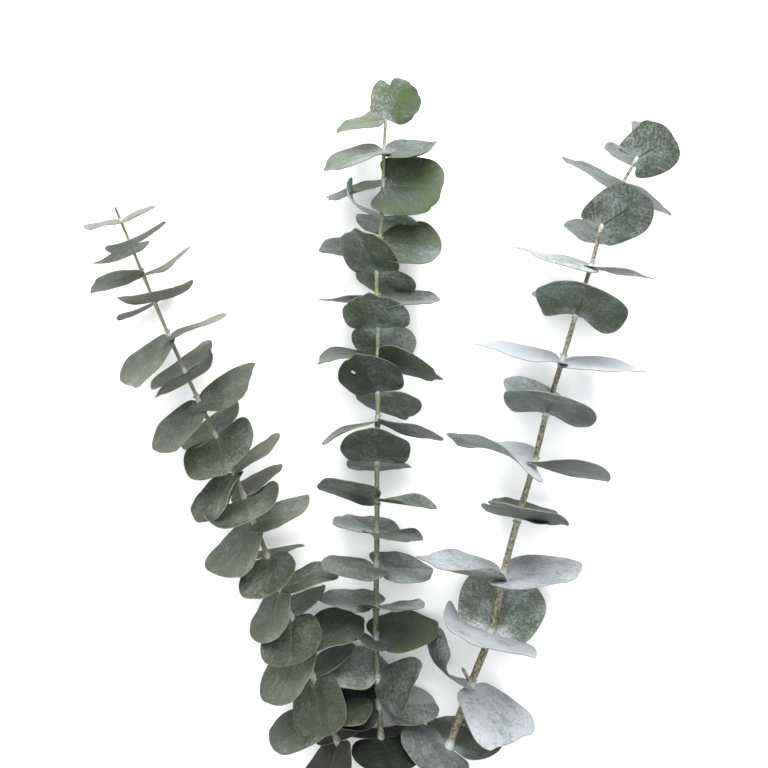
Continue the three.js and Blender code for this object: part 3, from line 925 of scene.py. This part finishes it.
def add_bud(stem, at, turn):
    """A bud that points out and up from the stem at a turn about it."""
    point, towards_tip = along_route(stem, at - BUD_RISE)
    outward, _ = stem_directions(towards_tip, turn, BUD_LIFT)
    place = point + outward * (stem_radius(stem, at - BUD_RISE) + BUD_OUT)
    return add_numbers(stand_copy(bud_blank, "bud", place, outward), at, NEAR_BUD)


def add_ring(stem, at):
    """A low corky ring round the stem just below a pair of leaves."""
    point, towards_tip = along_route(stem, at + RING_DROP)
    size = stem_radius(stem, at + RING_DROP) * MM
    return add_numbers(stand_copy(ring_blank, "ring", point, towards_tip, size), at, NEAR_RING)


for stem in STEMS:
    extras = []
    for pair, (at, first, second) in enumerate(stem["pairs"]):
        if at < BARE_TIP:
            continue
        extras.append(add_ring(stem, at))
        for leaf, every in ((first, 2), (second, 3)):
            if pair % every == 0 and leaf[1] < STEEPEST_WITH_BUD:
                extras.append(add_bud(stem, at, leaf[0]))
    if stem is RIGHT:
        foot, towards_tip = along_route(stem, SIDE_SHOOT["at"])
        lean, _ = stem_directions(towards_tip, SIDE_SHOOT["turn"], SIDE_SHOOT["lift"])
        points = [in_frame(foot + lean * SIDE_SHOOT["long"] * share) for share in SHOOT_SHARES]
        radii = [SIDE_SHOOT["radius"] * width * MM for width in SHOOT_WIDTHS]
        shoot = rod("side_shoot", points, radii)
        extras.append(add_numbers(shoot, SIDE_SHOOT["at"], NEAR_SHOOT))
    select_only(*extras, stem["rod"])
    bpy.ops.object.join()
    bpy.ops.object.shade_smooth_by_angle(angle=STEM_SMOOTH_ANGLE)
    print(stem["rod"].name, "has", len(extras), "small pieces")

for pattern in (blank, bud_blank, ring_blank):
    bpy.data.objects.remove(pattern)

# %% [markdown]
# The materials share three effects, each a node group that is built once. The first draws a leaf's
# veins from the flat places kept on it: a midrib that fades towards the tip, side veins that
# leave it slantwise, a fine net between them, and the pale margin. It also gives the streaks that
# fan out from the leaf's foot, and says which of its halves holds more wax.

# %% Node helpers
def node(tree, kind, inputs=None, **settings):
    """A shader node with its settings and some inputs filled in."""
    made = tree.nodes.new(kind)
    for name, value in settings.items():
        setattr(made, name, value)
    for name, value in (inputs or {}).items():
        if isinstance(value, bpy.types.NodeSocket):
            tree.links.new(value, made.inputs[name])
        else:
            made.inputs[name].default_value = value
    return made


def maths(tree, operation, first, second=None, third=None, clamp=False):
    """A Math node's value from one, two or three values or sockets."""
    given = {i: v for i, v in enumerate((first, second, third)) if v is not None}
    return node(tree, "ShaderNodeMath", given, operation=operation, use_clamp=clamp).outputs[0]


def band(tree, value, low, high, low_out=0.0, high_out=1.0):
    """A smooth step: low_out below low, high_out above high."""
    given = {"Value": value, "From Min": low, "From Max": high, "To Min": low_out, "To Max": high_out}
    step = node(tree, "ShaderNodeMapRange", given, interpolation_type="SMOOTHSTEP")
    return step.outputs["Result"]


def blend(tree, share, first, second):
    """A colour between two colours, which are inputs 6 and 7 of a Mix node."""
    given = {0: share, 6: first, 7: second}
    return node(tree, "ShaderNodeMix", given, data_type="RGBA").outputs[2]


def noise(tree, vector, scale, detail=3.0, roughness=0.55):
    """Noise at a scale, from 0 to 1."""
    given = {"Vector": vector, "Scale": scale, "Detail": detail, "Roughness": roughness}
    return node(tree, "ShaderNodeTexNoise", given).outputs["Fac"]


def own_number(tree, name):
    """A number that is kept on the vertices."""
    return node(tree, "ShaderNodeAttribute", attribute_name=name).outputs["Fac"]


def own_place(tree):
    """The place in the object's own axes."""
    return node(tree, "ShaderNodeTexCoord").outputs["Object"]


def new_group(name, inputs):
    """An empty node group and its inputs. An input whose value is a tuple is a colour."""
    tree = bpy.data.node_groups.new(name, "ShaderNodeTree")
    for label, value in inputs.items():
        kind = "NodeSocketColor" if isinstance(value, tuple) else "NodeSocketFloat"
        tree.interface.new_socket(label, in_out="INPUT", socket_type=kind).default_value = value
    return tree, tree.nodes.new("NodeGroupInput").outputs


def put_out(tree, results):
    """Gives a node group its outputs. The one named Color is a colour."""
    for label in results:
        kind = "NodeSocketColor" if label == "Color" else "NodeSocketFloat"
        tree.interface.new_socket(label, in_out="OUTPUT", socket_type=kind)
    node(tree, "NodeGroupOutput", results)
    print(tree.name + ":", len(tree.nodes), "nodes")


def new_material(name):
    """A new material, its node tree and its shader."""
    material = bpy.data.materials.new(name)
    material.use_nodes = True
    return material, material.node_tree, material.node_tree.nodes["Principled BSDF"]


def add_bump(tree, shader, height, distance):
    """A small bump on the shader's surface."""
    given = {"Strength": 0.5, "Distance": distance, "Height": height}
    bumped = node(tree, "ShaderNodeBump", given).outputs["Normal"]
    tree.links.new(bumped, shader.inputs["Normal"])


print("node helpers ready")

# %% Leaf veins
MIDRIB_WIDTHS = (0.022, 0.006)
VEIN_SLANT = -0.85
VEIN_SHIFT = 0.022
VEIN_SPACING = 0.048
VEIN_WIDTH = 0.0075
NET_SCALE = 420.0
NET_WIDTH = 0.16
FOOT_OFFSET = 0.08
HALF_BLUR = 0.008
MARGIN_FROM, MARGIN_TO = 0.972, 0.995

veins_group, _ = new_group("leaf veins", {})
tree = veins_group
place = own_place(tree)
flat = node(tree, "ShaderNodeUVMap", uv_map="leaf_map").outputs["UV"]
flat = node(tree, "ShaderNodeSeparateXYZ", {"Vector": flat}).outputs
along = flat["X"]
across = maths(tree, "SUBTRACT", flat["Y"], 0.5)
aside = maths(tree, "ABSOLUTE", across)
number = own_number(tree, "number")
midrib = maths(tree, "DIVIDE", aside, band(tree, along, 0.0, 1.0, *MIDRIB_WIDTHS))
midrib = maths(tree, "SUBTRACT", 1.0, maths(tree, "MULTIPLY", midrib, midrib), clamp=True)
midrib = maths(tree, "MULTIPLY", midrib, band(tree, along, 0.2, 0.85, 1.0, 0.0))
wander = maths(tree, "MULTIPLY_ADD", noise(tree, place, 110.0), 0.1, -0.05)
side_place = maths(tree, "ADD", maths(tree, "MULTIPLY_ADD", aside, VEIN_SLANT, along), wander)
side_place = maths(tree, "MULTIPLY_ADD", maths(tree, "SIGN", across), VEIN_SHIFT, side_place)
side_gap = maths(tree, "PINGPONG", side_place, VEIN_SPACING)
side_veins = band(tree, side_gap, 0.0, VEIN_WIDTH, 1.0, 0.0)
side_veins = maths(tree, "MULTIPLY", side_veins, band(tree, aside, 0.3, 0.46, 1.0, 0.0))
given = {"Vector": place, "Scale": NET_SCALE}
cells = node(tree, "ShaderNodeTexVoronoi", given, feature="DISTANCE_TO_EDGE")
from_foot = maths(tree, "ADD", along, FOOT_OFFSET)
to_foot = maths(tree, "MULTIPLY", from_foot, from_foot)
to_foot = maths(tree, "MULTIPLY_ADD", across, across, to_foot)
fanned = {
    "X": maths(tree, "MULTIPLY", maths(tree, "ARCTAN2", across, from_foot), 11.0),
    "Y": maths(tree, "MULTIPLY", from_foot, 4.0),
    "Z": maths(tree, "MULTIPLY", number, 50.0),
}
fanned = node(tree, "ShaderNodeCombineXYZ", fanned).outputs["Vector"]
fuller = maths(tree, "FRACT", maths(tree, "MULTIPLY", number, 7.0))
fuller = maths(tree, "SUBTRACT", fuller, 0.5)
which_half = band(tree, across, -HALF_BLUR, HALF_BLUR, -1.0, 1.0)
put_out(
    tree,
    {
        "Midrib": midrib,
        "Side Veins": side_veins,
        "Net": band(tree, cells.outputs["Distance"], 0.0, NET_WIDTH, 1.0, 0.0),
        "Margin": band(tree, own_number(tree, RIM_ATTRIBUTE), MARGIN_FROM, MARGIN_TO),
        "Foot": band(tree, to_foot, 0.008, 0.1, 1.0, 0.0),
        "Half": maths(tree, "MULTIPLY", fuller, which_half),
        "Streaks": noise(tree, fanned, 1.0, 4.0, 0.7),
    },
)

# %% [markdown]
# The second effect is the wax. Young eucalyptus leaves and stems are covered in a white powder of
# wax that rubs off at a touch, so it is broken up at three sizes: patches where leaves rubbed
# together, small blotches between the veins, and a fine grain. It lies thickest at a leaf's foot,
# where nothing touches it.

# %% Wax bloom
PATCH_SCALE = 60.0
BLOTCH_SCALE = 420.0
GRAIN_SCALE = 1150.0
USUAL_COVER = 1.85

wax_group, given = new_group("wax bloom", {"Amount": 0.5, "Contrast": 1.0, "Streaks": 0.5})
tree = wax_group
place = own_place(tree)
patches = noise(tree, place, PATCH_SCALE, 2.0, 0.5)
blotches = noise(tree, place, BLOTCH_SCALE, 5.0, 0.8)
grain = noise(tree, place, GRAIN_SCALE, 2.0, 0.8)
cover = maths(tree, "MULTIPLY_ADD", patches, 0.8, maths(tree, "MULTIPLY", blotches, 1.3))
cover = maths(tree, "MULTIPLY_ADD", grain, 1.1, cover)
cover = maths(tree, "MULTIPLY_ADD", given["Streaks"], 0.5, cover)
cover = maths(tree, "SUBTRACT", cover, USUAL_COVER)
cover = maths(tree, "MULTIPLY_ADD", cover, given["Contrast"], given["Amount"])
put_out(tree, {"Wax": band(tree, cover, 0.0, 1.0), "Grain": grain})

# %% [markdown]
# The third puts them together as a leaf's skin. Under the wax the blade is olive, or fresh green
# near the tip of the middle stem. Thin wax turns it grey-green, and thick wax blue-white. The
# veins of the right stem's leaves are dark lines in the wax, those of the others hardly show, and
# the midrib is a little paler near the leaf's foot. The margin is a thin yellowish line.

# %% Leaf skin
PALE_MIDRIB = (0.3, 0.33, 0.22, 1)
YELLOW_MARGIN = (0.2, 0.21, 0.1, 1)
SKIN_COLOURS = ("Olive", "Fresh", "Thin Wax", "Thick Wax")
SKIN_VALUES = ("Extra Wax", "Contrast", "Vein Darkness", "Half Difference")

skin_inputs = {label: (0.1, 0.1, 0.1, 1) for label in SKIN_COLOURS}
skin_inputs.update({label: 0.5 for label in SKIN_VALUES})
skin_group, given = new_group("leaf skin", skin_inputs)
tree = skin_group
own = {name: own_number(tree, name) for name in LOOKS}
veins = node(tree, "ShaderNodeGroup", node_tree=veins_group).outputs
amount = maths(tree, "ADD", own["wax"], given["Extra Wax"])
amount = maths(tree, "MULTIPLY_ADD", veins["Foot"], 0.3, amount)
amount = maths(tree, "MULTIPLY_ADD", veins["Half"], given["Half Difference"], amount)
dark_lines = maths(tree, "MULTIPLY", veins["Net"], 0.22)
dark_lines = maths(tree, "MAXIMUM", dark_lines, veins["Side Veins"])
dark_lines = maths(tree, "MAXIMUM", dark_lines, veins["Midrib"])
dark_lines = maths(tree, "MULTIPLY", dark_lines, own["veins"])
dark_lines = maths(tree, "MULTIPLY", dark_lines, given["Vein Darkness"])
wax_inputs = {
    "Amount": maths(tree, "MULTIPLY_ADD", dark_lines, -0.6, amount),
    "Contrast": given["Contrast"],
    "Streaks": veins["Streaks"],
}
wax = node(tree, "ShaderNodeGroup", wax_inputs, node_tree=wax_group).outputs
blade = blend(tree, own["green"], given["Olive"], given["Fresh"])
skin = blend(tree, band(tree, wax["Wax"], 0.0, 0.55), blade, given["Thin Wax"])
skin = blend(tree, band(tree, wax["Wax"], 0.45, 1.0), skin, given["Thick Wax"])
pale = maths(tree, "SUBTRACT", 0.22, maths(tree, "MULTIPLY", own["veins"], 0.22), clamp=True)
pale = maths(tree, "MULTIPLY", veins["Midrib"], pale)
skin = blend(tree, pale, skin, PALE_MIDRIB)
skin = blend(tree, maths(tree, "MULTIPLY", veins["Margin"], 0.35), skin, YELLOW_MARGIN)
# The skin's value is scaled by the leaf's lightness number: its own tone, and painted shade on the
# lowest leaves.
light = node(tree, "ShaderNodeHueSaturation", {"Color": skin, "Value": own["lightness_and_shade"]})
height = maths(tree, "MULTIPLY", wax["Grain"], 0.5)
for socket, depth in (
    (wax["Wax"], 0.35),
    (veins["Side Veins"], -0.5),
    (veins["Net"], -0.2),
    (veins["Midrib"], -0.6),
):
    height = maths(tree, "MULTIPLY_ADD", socket, depth, height)
roughness = maths(tree, "MULTIPLY_ADD", wax["Wax"], 0.25, 0.45)
put_out(tree, {"Color": light.outputs["Color"], "Roughness": roughness, "Height": height})

# %% [markdown]
# Each stem's leaves have a material for the upper face, one for the underside and one for the rim.
# They differ only in the skin's inputs. Leaves have a soft, satin shine, so the
# shader's roughness comes from the wax and its specular level is a plain value.

# %% Leaf materials
def leaf_material(name, colours, values):
    """A leaf face's material: the skin group, a small bump and the shader."""
    material, tree, shader = new_material(name)
    given = {label: (*colour, 1) for label, colour in zip(SKIN_COLOURS, colours)}
    given.update(zip(SKIN_VALUES, values))
    skin = node(tree, "ShaderNodeGroup", given, node_tree=skin_group).outputs
    tree.links.new(skin["Color"], shader.inputs["Base Color"])
    tree.links.new(skin["Roughness"], shader.inputs["Roughness"])
    add_bump(tree, shader, skin["Height"], 0.0004)
    shader.inputs["Specular IOR Level"].default_value = 0.3
    return material


def rim_material(name, colour):
    """The thin rim of a leaf: pale, a little uneven."""
    material, tree, shader = new_material(name)
    uneven = noise(tree, own_place(tree), 220.0, 2.0)
    darker = tuple(0.6 * c for c in colour)
    uneven = blend(tree, uneven, (*darker, 1), (*colour, 1))
    tree.links.new(uneven, shader.inputs["Base Color"])
    shader.inputs["Roughness"].default_value = 0.55
    return material


# Four colours: olive blade, fresh blade, thin wax and thick wax.
# Four values: extra wax, its contrast, the veins' darkness, and how far the two halves differ.
# The left and middle undersides are darker copies of their upper faces: painted shade, for the side
# of a leaf turned away from the light. The right stem's undersides differ for real: greener and more
# veined than its white upper faces.
LEAF_FACES = {
    "left upper": (
        ((0.032, 0.038, 0.021), (0.05, 0.064, 0.026), (0.066, 0.077, 0.053), (0.165, 0.18, 0.157)),
        (0.03, 1.0, 0.3, 0.12),
    ),
    "left under": (
        ((0.025, 0.03, 0.013), (0.044, 0.054, 0.02), (0.056, 0.064, 0.043), (0.13, 0.142, 0.122)),
        (0.05, 0.6, 0.3, 0.05),
    ),
    "middle upper": (
        ((0.033, 0.042, 0.027), (0.045, 0.073, 0.021), (0.074, 0.088, 0.074), (0.19, 0.215, 0.205)),
        (0.05, 1.0, 0.4, 0.3),
    ),
    "middle under": (
        ((0.023, 0.03, 0.018), (0.038, 0.06, 0.018), (0.055, 0.067, 0.053), (0.155, 0.175, 0.165)),
        (0.05, 1.0, 0.4, 0.4),
    ),
    "right upper": (
        ((0.066, 0.08, 0.062), (0.06, 0.074, 0.037), (0.178, 0.198, 0.193), (0.33, 0.35, 0.368)),
        (0.1, 1.0, 0.3, 0.05),
    ),
    "right under": (
        ((0.03, 0.039, 0.026), (0.036, 0.05, 0.022), (0.092, 0.108, 0.095), (0.2, 0.22, 0.21)),
        (-0.05, 1.2, 1.0, 0.1),
    ),
}
RIM_COLOURS = {
    "left": (0.1, 0.108, 0.065),
    "middle": (0.085, 0.103, 0.05),
    "right": (0.15, 0.157, 0.12),
}
for stem in STEMS:
    side = stem["node"].replace("_branch", "")
    finish_leaves(
        stem["leaves"],
        leaf_material(side + " leaf upper face", *LEAF_FACES[side + " upper"]),
        leaf_material(side + " leaf underside", *LEAF_FACES[side + " under"]),
        rim_material(side + " leaf rim", RIM_COLOURS[side]),
    )
    print(stem["leaves"].name + ":", len(stem["leaves"].data.polygons), "faces")

# %% [markdown]
# Stems are yellow-green under their wax on the left and middle stems, and browner, with corky
# specks, on the right one. White wax gathers at the joints. The left stem's tip has dried out.

# %% Stem materials
DARK_STREAK = (0.05, 0.044, 0.022, 1)
CORK = (0.035, 0.027, 0.018, 1)
STEM_WAX = (0.42, 0.45, 0.44, 1)
DRY_TIP = (0.035, 0.028, 0.02, 1)
YOUNG_UNTIL, OLD_FROM = 30.0, 380.0
DRY_UNTIL, FRESH_FROM = 4.0, 8.0
WAX_BETWEEN_JOINTS = 0.12


def stem_material(name, young, old, specks, joint_wax, dead_tip=False):
    """A stem's skin: it ages away from the tip, with specks, streaks and wax at its joints."""
    material, tree, shader = new_material(name)
    place = own_place(tree)
    from_tip = own_number(tree, "from_tip")
    near = own_number(tree, "near_leaves")
    bark = blend(tree, band(tree, from_tip, YOUNG_UNTIL, OLD_FROM), young, old)
    stretched = node(tree, "ShaderNodeMapping", {"Vector": place, "Scale": (1.0, 0.2, 1.0)})
    streaks = noise(tree, stretched.outputs["Vector"], 900.0)
    bark = blend(tree, maths(tree, "MULTIPLY", streaks, 0.35), bark, DARK_STREAK)
    corky = band(tree, noise(tree, place, 560.0, 1.0, 0.5), 0.46, 0.6)
    bark = blend(tree, maths(tree, "MULTIPLY", corky, specks), bark, CORK)
    amount = maths(tree, "MULTIPLY_ADD", near, joint_wax, WAX_BETWEEN_JOINTS, clamp=True)
    wax = node(tree, "ShaderNodeGroup", {"Amount": amount}, node_tree=wax_group).outputs["Wax"]
    bark = blend(tree, maths(tree, "MULTIPLY", wax, 0.8), bark, STEM_WAX)
    if dead_tip:
        dead = band(tree, from_tip, DRY_UNTIL, FRESH_FROM, 1.0, 0.0)
        bark = blend(tree, dead, bark, DRY_TIP)
    tree.links.new(bark, shader.inputs["Base Color"])
    shader.inputs["Roughness"].default_value = 0.5
    add_bump(tree, shader, maths(tree, "ADD", streaks, corky), 0.0003)
    return material


STEM_MATERIALS = {
    "left_branch": stem_material(
        "left bark", (0.21, 0.21, 0.11, 1), (0.13, 0.125, 0.058, 1), 0.4, 0.4, dead_tip=True
    ),
    "middle_branch": stem_material(
        "middle bark", (0.16, 0.19, 0.065, 1), (0.045, 0.05, 0.02, 1), 0.3, 0.35
    ),
    "right_branch": stem_material(
        "right bark", (0.2, 0.18, 0.11, 1), (0.2, 0.175, 0.09, 1), 0.95, 0.8
    ),
}
for stem in STEMS:
    bark = stem["rod"].data
    bark.materials.clear()
    bark.materials.append(STEM_MATERIALS[stem["node"]])
    bark.polygons.foreach_set("material_index", np.zeros(len(bark.polygons), dtype=np.int32))
print("stem materials:", len(STEM_MATERIALS))

# %% [markdown]
# Each leafy stem's two pieces take the place of its node in the model.

# %% Put the pieces in the model's place
for stem in STEMS:
    for piece in (stem["leaves"], stem["rod"]):
        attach(piece, "root")
        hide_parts(stem["node"])

# %% [markdown]
# The floor is plain and pale. The light is a bright overcast one: a big soft panel beyond the tips,
# which lights the leaves' upper faces and leaves their undersides in shade, a weaker one straight
# above, and a pale sky that fills the shadows.

# %% Floor and light
FLOOR_SIZE = 12.0
FLOOR_DROP = 0.0003
KEY_WATTS = 140
TOP_WATTS = 43
SKY_COLOUR = (0.96, 0.98, 1.0, 1)
SKY_STRENGTH = 1.15

bpy.ops.mesh.primitive_plane_add(size=FLOOR_SIZE, location=(0, 0, -FLOOR_DROP))
floor = bpy.context.object
floor.name = "floor"
floor_material, _, floor_shader = new_material("floor")
floor_shader.inputs["Base Color"].default_value = (0.94, 0.94, 0.94, 1)
floor_shader.inputs["Roughness"].default_value = 0.9
floor.data.materials.append(floor_material)


def soft_panel(name, place, target, size, watts):
    """A square area light at a place, facing a target."""
    data = bpy.data.lights.new(name, "AREA")
    data.shape = "SQUARE"
    data.size = size
    data.energy = watts
    panel = add_object(name, data)
    panel.location = place
    aim = Vector(target) - Vector(place)
    panel.rotation_euler = aim.to_track_quat("-Z", "Y").to_euler()


soft_panel("key panel", (0.1, 2.0, 1.5), (0, 0.05, 0), 2.0, KEY_WATTS)
soft_panel("top panel", (-0.4, 0.2, 2.4), (0, 0, 0), 2.4, TOP_WATTS)
world = bpy.data.worlds.new("sky")
world.use_nodes = True
sky = world.node_tree.nodes["Background"].inputs
sky["Color"].default_value = SKY_COLOUR
sky["Strength"].default_value = SKY_STRENGTH
bpy.context.scene.world = world
bpy.context.scene.view_settings.view_transform = "Standard"
print("lights: 2 panels and the sky")
